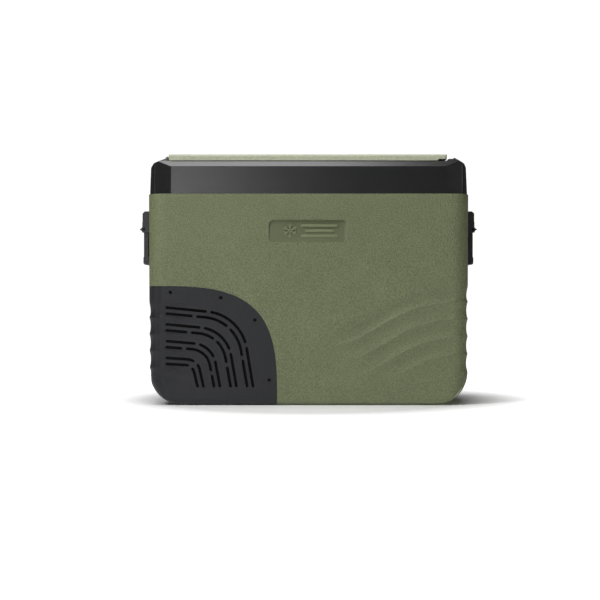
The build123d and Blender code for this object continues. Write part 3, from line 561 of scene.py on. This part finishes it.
def plan_point(column, z, inset, relief):
    """Point of the cabinet's wall in one column at height z."""
    kind, value = column
    taper = DRAFT * (SEAM - z) / SEAM
    length = HALF_LENGTH - taper - rounded_in(z, END_RADIUS) - inset
    depth = HALF_DEPTH - taper - rounded_in(z, FRONT_BOTTOM_RADIUS) - inset
    tuck = max(1 - rounded_in(z, END_RADIUS) / END_RADIUS, 0.0)
    corner = FRONT_BOTTOM_RADIUS + (CORNER - FRONT_BOTTOM_RADIUS) * tuck**3 - inset
    straight_x = length - corner
    straight_y = depth - corner
    scale = straight_x / (HALF_LENGTH - CORNER)
    if kind == "front":
        x = value * scale
        return (x, -depth + relief(x, z), z)
    if kind == "back":
        x = value * scale
        return (x, depth - relief(x, z), z)
    if kind == "right":
        return (length - relief(0.5, z), value, z)
    if kind == "left":
        return (-length + relief(-0.5, z), value, z)
    quarter = int(kind[-1])
    angle = -pi / 2 + quarter * pi / 2 + value * pi / 2
    side = 1 if quarter in (0, 1) else -1
    radius = corner - relief(side * 0.5, z) * (1 - CORNER_FADE * sin(pi * value))
    centre_x = straight_x if quarter in (0, 1) else -straight_x
    centre_y = -straight_y if quarter in (0, 3) else straight_y
    return (centre_x + radius * cos(angle), centre_y + radius * sin(angle), z)


def cabinet_solid(columns, outer_levels, relief):
    """Hollow open-topped cabinet: relief outside, plain inside, flat bottom."""
    around = len(columns)
    inner_levels = [SEAM] + steps(SEAM - 0.004, CABINET_BOTTOM + 0.06, 3)
    inner_levels += steps(CABINET_BOTTOM + 0.06, CABINET_BOTTOM + WALL, 7) + [CABINET_BOTTOM + WALL]
    verts, faces = [], []
    for z in outer_levels:
        lip = max(z - (SEAM - LIP_RADIUS), 0.0)
        lip_inset = LIP_RADIUS - sqrt(max(LIP_RADIUS**2 - lip**2, 0.0))
        verts += [plan_point(c, z, lip_inset, relief) for c in columns]
    for z in inner_levels:
        verts += [plan_point(c, z, WALL, lambda x, z: 0.0) for c in columns]
    rings = len(outer_levels) + len(inner_levels)
    for ring in range(rings - 1):
        for i in range(around):
            j = (i + 1) % around
            a, b = ring * around + i, ring * around + j
            faces.append((a, b, b + around, a + around))
    faces.append(tuple(range(around - 1, -1, -1)))
    faces.append(tuple((rings - 1) * around + i for i in range(around)))
    return verts, faces


def vent_outline(margin):
    """Closed XZ outline that holds the vent cover, inside its curved edge by the margin."""
    points = []
    turns = 72
    for i in range(turns + 1):
        angle = pi / 2 * (i / turns)
        spread = angle + 0.35 * sin(4 * angle) / 4
        x = (VENT_LENGTH - margin) * max(cos(spread), 0.0) ** (2 / VENT_POWER)
        z = (VENT_HEIGHT - margin) * max(sin(spread), 0.0) ** (2 / VENT_POWER)
        points.append((VENT_CENTRE + x, z))
    points += [(-0.32, points[-1][1]), (-0.32, -0.02), (points[0][0], -0.02)]
    return points


# --- Green cabinet shell -------------------------------------------------------------------------


def shell_relief(x, z):
    return sweep_relief(x, z) if x > FLUTE_START else 0.0


straight = HALF_LENGTH - CORNER
fine_count = int((straight + 0.03) / COLUMN_SPACING)
shell_front = steps(-straight, -0.03, 40) + steps(-0.03, straight, fine_count)
shell_side = steps(-(HALF_DEPTH - CORNER), HALF_DEPTH - CORNER, 10)
shell_back = steps(-straight, straight, 150)
low_levels = steps(CABINET_BOTTOM, CABINET_BOTTOM + 0.010, 10)
flute_levels = steps(CABINET_BOTTOM + 0.010, FLUTE_TOP + 0.004, int(0.21 / ROW_SPACING))
high_levels = steps(FLUTE_TOP + 0.004, SEAM - LIP_RADIUS, 12)
lip_levels = [SEAM - LIP_RADIUS, SEAM - 0.0008, SEAM - 0.0003, SEAM]
shell_columns = perimeter(shell_front, shell_side, shell_back)
shell_levels = low_levels + flute_levels + high_levels + lip_levels

verts, faces = cabinet_solid(shell_columns, shell_levels, shell_relief)
shell = make_object("cabinet_shell", verts, faces, "green_shell")
cut(shell, *prism_mesh(vent_outline(0.0), -0.2, 0.2))


def rounded_rectangle(centre, size, radius, turns=8):
    """Closed XZ outline of a rounded rectangle."""
    points = []
    for quarter, (sx, sz) in enumerate(((1, 1), (-1, 1), (-1, -1), (1, -1))):
        for i in range(turns + 1):
            angle = (quarter + i / turns) * pi / 2
            points.append(
                (
                    centre[0] + sx * (size[0] / 2 - radius) + radius * cos(angle),
                    centre[1] + sz * (size[1] / 2 - radius) + radius * sin(angle),
                )
            )
    return points


def recess_floor(z):
    """How deep the badge recess is: deepest at its top, running out near its bottom."""
    t = (z - (BADGE_LEVEL - BADGE_HEIGHT / 2)) / BADGE_HEIGHT
    return 0.0008 + 0.0034 * min(max(t, 0.0), 1.0)


outline = rounded_rectangle((0, BADGE_LEVEL), (BADGE_LENGTH, BADGE_HEIGHT), 0.0075)
inner_centre = (-0.0019, BADGE_LEVEL - 0.0006)
inner_size = (BADGE_LENGTH - 0.0058, BADGE_HEIGHT - 0.003)
inner = rounded_rectangle(inner_centre, inner_size, 0.0065)
verts = [(x, -HALF_DEPTH - 0.002, z) for x, z in outline]
verts += [(x, -HALF_DEPTH + recess_floor(z), z) for x, z in inner]
count = len(outline)
faces = [tuple(range(count)), tuple(range(2 * count - 1, count - 1, -1))]
faces += [(i, i + count, (i + 1) % count + count, (i + 1) % count) for i in range(count)]
cut(shell, verts, faces)
keep_one_look(shell, "green_shell")
finish_shading(shell, 24)
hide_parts("outer_shell")
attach(shell, "cabinet")


# --- Badge ---------------------------------------------------------------------------------------


def capsule(x0, z0, x1, z1, width, turns=6):
    """Closed XZ outline of a round-ended bar."""
    angle = atan2(z1 - z0, x1 - x0)
    points = []
    for end, (x, z) in ((0, (x1, z1)), (1, (x0, z0))):
        for i in range(turns + 1):
            a = angle - pi / 2 + end * pi + pi * i / turns
            points.append((x + width / 2 * cos(a), z + width / 2 * sin(a)))
    return points


def raised(outline, front, back, bevel):
    """Raised badge piece with a bevelled front edge."""
    count = len(outline)
    verts, faces = [], []
    for y, shrink in ((back, 0.0), (front + bevel, 0.0), (front, bevel)):
        for i, (x, z) in enumerate(outline):
            before, after = outline[i - 1], outline[(i + 1) % count]
            tx, tz = after[0] - before[0], after[1] - before[1]
            size = hypot(tx, tz) or 1.0
            verts.append((x - shrink * tz / size, y, z + shrink * tx / size))
    for ring in range(2):
        for i in range(count):
            j = (i + 1) % count
            low, high = ring * count, (ring + 1) * count
            faces.append((low + i, low + j, high + j, high + i))
    faces.append(tuple(range(count)))
    faces.append(tuple(2 * count + i for i in range(count)))
    return verts, faces


badge_front = -HALF_DEPTH + 0.0002
badge_parts = []
badge_back = badge_front + BADGE_THICKNESS
for arm in range(CRYSTAL_ARMS):
    angle = arm * pi / 3 + pi / 6
    ux, uz = cos(angle), sin(angle)
    stem = capsule(
        CRYSTAL_X + ARM_START * ux,
        BADGE_LEVEL + ARM_START * uz,
        CRYSTAL_X + ARM_END * ux,
        BADGE_LEVEL + ARM_END * uz,
        0.0026,
    )
    badge_parts.append(raised(stem, badge_front, badge_back, 0.0005))
    for lean in (-1, 1):
        tip = angle + lean * BARB_LEAN
        bx, bz = CRYSTAL_X + BARB_START * ux, BADGE_LEVEL + BARB_START * uz
        barb = capsule(bx, bz, bx + BARB_LENGTH * cos(tip), bz + BARB_LENGTH * sin(tip), 0.0020)
        badge_parts.append(raised(barb, badge_front + 0.0001, badge_back, 0.0004))
for row, length in ((1, 0.066), (0, 0.052), (-1, 0.066)):
    level = BADGE_LEVEL + row * BAR_PITCH
    reach = (length - BAR_WIDTH) / 2
    bar = capsule(BARS_X - reach, level, BARS_X + reach, level, BAR_WIDTH, 10)
    badge_parts.append(raised(bar, badge_front, badge_back, 0.0007))
field_verts = []
for face_y in (0.0, 0.0005):
    field_verts += [(x, -HALF_DEPTH + face_y + 0.0001, z) for x, z in outline]
    field_verts += [(x, -HALF_DEPTH + recess_floor(z) + face_y - 0.0001, z) for x, z in inner]
field_faces = [tuple(range(count, 2 * count)), tuple(range(4 * count - 1, 3 * count - 1, -1))]
for first, second in ((0, 1), (2, 3), (0, 2)):
    for i in range(count):
        j = (i + 1) % count
        low, high = first * count, second * count
        field_faces.append((low + i, low + j, high + j, high + i))
# Recess liner, drawn in the darker green that paints the recess's shade.
field = make_object("badge_recess_painted_shade", field_verts, field_faces, "badge_recess_painted_shade")
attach(field, "cabinet")
# Raised crystal and bars, in the lighter green that paints their highlight.
badge = make_object("badge_relief", *join_meshes(badge_parts), "badge_raised", 40)
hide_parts("badge")
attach(badge, "cabinet")


# --- Vent cover ----------------------------------------------------------------------------------


def slot_inset(index):
    """How far a slot lies inside the outermost one; the slots come in close pairs."""
    return SLOT_PITCH * (index // 2) + SLOT_PAIR_GAP * (index % 2)


def slot_path(index):
    """Centre line of one slot: level leg, arc, falling leg."""
    inward = slot_inset(index)
    start = Vector((SLOT_START, SLOT_TOP - inward))
    corner_x = SLOT_CORNER_X - CORNER_SHIFT_X * inward
    corner_z = SLOT_CORNER_Z - CORNER_SHIFT_Z * inward
    corner = Vector((corner_x, corner_z))
    finish = Vector((SLOT_FINISH_X - FINISH_SHIFT * inward, SLOT_FOOT))
    radius = SLOT_RADIUS - RADIUS_SHIFT * inward
    first = (start - corner).normalized()
    second = (finish - corner).normalized()
    half = first.angle(second) / 2
    reach = radius / (sin(half) / cos(half))
    begin = corner + first * reach
    centre = corner + (first + second).normalized() * (radius / sin(half))
    a0 = atan2(begin.y - centre.y, begin.x - centre.x)
    sweep = pi - 2 * half
    points = [start + (begin - start) * i / 6 for i in range(6)]
    for i in range(21):
        angle = a0 - sweep * i / 20
        points.append(centre + radius * Vector((cos(angle), sin(angle))))
    end = corner + second * reach
    points += [end + (finish - end) * i / 5 for i in range(1, 6)]
    return points


def ribbon(points, width, turns=5):
    """Closed outline of a round-ended ribbon along a path."""
    left, right = [], []
    for i, point in enumerate(points):
        before = points[max(i - 1, 0)]
        after = points[min(i + 1, len(points) - 1)]
        along = (after - before).normalized()
        side = Vector((-along.y, along.x)) * width / 2
        left.append(point + side)
        right.append(point - side)
    outline = list(left)
    tip_along = (points[-1] - points[-2]).normalized()
    start_angle = atan2(tip_along.y, tip_along.x) + pi / 2
    for i in range(1, turns):
        a = start_angle - pi * i / turns
        outline.append(points[-1] + Vector((cos(a), sin(a))) * width / 2)
    outline += list(reversed(right))
    tail_along = (points[1] - points[0]).normalized()
    start_angle = atan2(tail_along.y, tail_along.x) - pi / 2
    for i in range(1, turns):
        a = start_angle - pi * i / turns
        outline.append(points[0] + Vector((cos(a), sin(a))) * width / 2)
    return [(p.x, p.y) for p in outline]


def piece_of_path(points, begin, end):
    """Evenly spaced points on the stretch of a path between two fractions of its length."""
    lengths = [0.0]
    for a, b in zip(points, points[1:]):
        lengths.append(lengths[-1] + (b - a).length)
    count = max(int((end - begin) * lengths[-1] / 0.004), 3)
    stretch = []
    for step in range(count + 1):
        wanted = (begin + (end - begin) * step / count) * lengths[-1]
        i = max(k for k in range(len(points) - 1) if lengths[k] <= wanted + 1e-9)
        t = (wanted - lengths[i]) / (lengths[i + 1] - lengths[i])
        stretch.append(points[i].lerp(points[i + 1], t))
    return stretch


cover_count = int((straight - 0.05) / COLUMN_SPACING)
cover_front = steps(-straight, -0.05, cover_count) + steps(-0.05, straight, 6)
cover_back = steps(-straight, 0.05, 6) + steps(0.05, straight, 120)
cover_levels = steps(CABINET_BOTTOM, CABINET_BOTTOM + 0.010, 10)
cover_levels += steps(CABINET_BOTTOM + 0.010, 0.23, int(0.22 / COVER_ROW_SPACING))
cover_levels += [0.23, SEAM - LIP_RADIUS, SEAM]
cover_columns = perimeter(cover_front, shell_side, cover_back)
verts, faces = cabinet_solid(cover_columns, cover_levels, cover_relief)
cover = make_object("vent_cover_relief", verts, faces, "black_cover")
cut(cover, *prism_mesh(vent_outline(0.0001), -0.2, 0.2), "INTERSECT")

slot_cutters = []
for index, bridges in enumerate(SLOT_BRIDGES):
    path = slot_path(index)
    length = sum((b - a).length for a, b in zip(path, path[1:]))
    half_bridge = (SLOT_BRIDGE + SLOT_WIDTH) / 2 / length
    begins = [0.0] + [place + half_bridge for place in bridges]
    ends = [place - half_bridge for place in bridges] + [1.0]
    for begin, end in zip(begins, ends):
        outline = ribbon(piece_of_path(path, begin, end), SLOT_WIDTH)
        slot_cutters.append(prism_mesh(outline, -0.185, -0.160))
        slot_cutters.append(prism_mesh(outline, 0.160, 0.185))
cut(cover, *join_meshes(slot_cutters))

side_cutters = []
for index in range(len(SLOT_BRIDGES)):
    level = SLOT_TOP - slot_inset(index)
    for place in (-1, 0, 1):
        y = place * SIDE_SLOT_SPACING
        outline = capsule(y - SIDE_SLOT_HALF, level, y + SIDE_SLOT_HALF, level, SLOT_WIDTH)
        side_verts, side_faces = prism_mesh(outline, -0.30, -0.27)
        side_cutters.append(([(b, a, c) for a, b, c in side_verts], side_faces))
cut(cover, *join_meshes(side_cutters))

hole_cutters = []
for x, z in SCREW_PLACES:
    for y0, y1 in ((-0.19, -0.16), (0.16, 0.19)):
        hole_cutters.append(prism_mesh(capsule(x, z, x + 1e-6, z, SCREW_HOLE, 12), y0, y1))
hole_cutters.append(prism_mesh(rounded_rectangle(INLET_CENTRE, INLET_SIZE, 0.0004), 0.16, 0.19))
cut(cover, *join_meshes(hole_cutters))
keep_one_look(cover, "black_cover")
finish_shading(cover, 24)
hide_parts("vent_cover")
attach(cover, "cabinet")


# --- Floor, light and camera ---------------------------------------------------------------------

# The floor glows white away from the base, and keeps its soft shadow near it
FLOOR_HALF = 14.0
FLOOR_GLOW_REACH = (0.28, 0.46)
FLOOR_BOUNCE = 0.22
WORLD_LIGHT = 0.05
WORLD_WHITE = 1.05

floor_look = Nodes("floor_paper")
tone = floor_look.span(floor_look.noise(0.4), 0.93, 0.95, 0.3, 0.7)
paper = floor_look.blend(tone, (0.90, 0.90, 0.90), (0.93, 0.93, 0.93))
floor_look.link(paper, floor_look.shader.inputs["Base Color"])
floor_look.shader.inputs["Roughness"].default_value = 0.55
floor_look.shader.inputs["Emission Color"].default_value = (1.0, 1.0, 1.0, 1.0)
oval = floor_look.tree.nodes.new("ShaderNodeVectorMath")
oval.operation = "MULTIPLY"
oval.inputs[1].default_value = (1.0, 0.75, 1.0)
floor_look.link(floor_look.place, oval.inputs[0])
middle = floor_look.tree.nodes.new("ShaderNodeVectorMath")
middle.operation = "LENGTH"
floor_look.link(oval.outputs["Vector"], middle.inputs[0])
glow = floor_look.span(middle.outputs["Value"], 0.0, 1.0, *FLOOR_GLOW_REACH)
ray = floor_look.tree.nodes.new("ShaderNodeLightPath")
bounce = floor_look.span(ray.outputs["Is Camera Ray"], FLOOR_BOUNCE, 0.0)
seen_glow = floor_look.math("MULTIPLY", glow, ray.outputs["Is Camera Ray"])
strength = floor_look.math("MAXIMUM", seen_glow, bounce)
floor_look.link(strength, floor_look.shader.inputs["Emission Strength"])

floor_mesh = bpy.data.meshes.new("floor")
floor_mesh.from_pydata(
    [(x * FLOOR_HALF, y * FLOOR_HALF, 0) for x, y in ((-1, -1), (1, -1), (1, 1), (-1, 1))],
    [],
    [(0, 1, 2, 3)],
)
floor = bpy.data.objects.new("floor", floor_mesh)
floor_mesh.materials.append(floor_look.material)
bpy.context.scene.collection.objects.link(floor)

world = bpy.data.worlds.new("studio")
world.use_nodes = True
bpy.context.scene.world = world
tree = world.node_tree
background = tree.nodes["Background"]
background.inputs["Color"].default_value = (1.0, 1.0, 1.0, 1.0)
background.inputs["Strength"].default_value = WORLD_LIGHT
bright = tree.nodes.new("ShaderNodeBackground")
bright.inputs["Color"].default_value = (1.0, 1.0, 1.0, 1.0)
bright.inputs["Strength"].default_value = WORLD_WHITE
seen = tree.nodes.new("ShaderNodeLightPath")
mixer = tree.nodes.new("ShaderNodeMixShader")
tree.links.new(seen.outputs["Is Camera Ray"], mixer.inputs["Fac"])
tree.links.new(background.outputs["Background"], mixer.inputs[1])
tree.links.new(bright.outputs["Background"], mixer.inputs[2])
tree.links.new(mixer.outputs["Shader"], tree.nodes["World Output"].inputs["Surface"])


def soft_light(name, place, target, size, power):
    """Rectangular softbox that faces the target."""
    data = bpy.data.lights.new(name, "AREA")
    data.shape = "RECTANGLE"
    data.size, data.size_y = size
    data.energy = power
    lamp = bpy.data.objects.new(name, data)
    lamp.location = place
    lamp.rotation_euler = (Vector(target) - Vector(place)).to_track_quat("-Z", "Y").to_euler()
    bpy.context.scene.collection.objects.link(lamp)


soft_light("key_left", (-1.7, -2.0, 2.6), (-0.1, -0.17, 0.22), (0.9, 1.2), 62)
soft_light("front_left", (-1.2, -3.8, 0.8), (-0.2, -0.17, 0.3), (1.8, 1.2), 14)
soft_light("edge_left", (-2.8, -1.2, 0.35), (-0.1, -0.17, 0.30), (0.4, 0.6), 3)
soft_light("edge_right", (2.4, -1.6, 0.5), (0.2, -0.17, 0.36), (0.4, 0.6), 2.5)
soft_light("top", (-0.3, -0.25, 2.3), (0.0, -0.1, 0.4), (1.6, 0.8), 26)
soft_light("band_glint", (-0.50, -3.4, 0.30), (-0.15, -0.17, 0.38), (0.22, 0.9), 4)

bpy.context.scene.view_settings.view_transform = "Standard"

CAMERA_DISTANCE = 3.0
CAMERA_X = -0.0154
CAMERA_Z = 0.187
VIEW_WIDTH = 1.065
SENSOR_WIDTH = 36.0
camera_data = bpy.data.cameras.new("camera")
camera_data.sensor_width = SENSOR_WIDTH
camera_data.lens = SENSOR_WIDTH * CAMERA_DISTANCE / VIEW_WIDTH
camera = bpy.data.objects.new("camera", camera_data)
camera.location = (CAMERA_X, -HALF_DEPTH - CAMERA_DISTANCE, CAMERA_Z)
camera.rotation_euler = (radians(90), 0, 0)
bpy.context.scene.collection.objects.link(camera)
bpy.context.scene.camera = camera
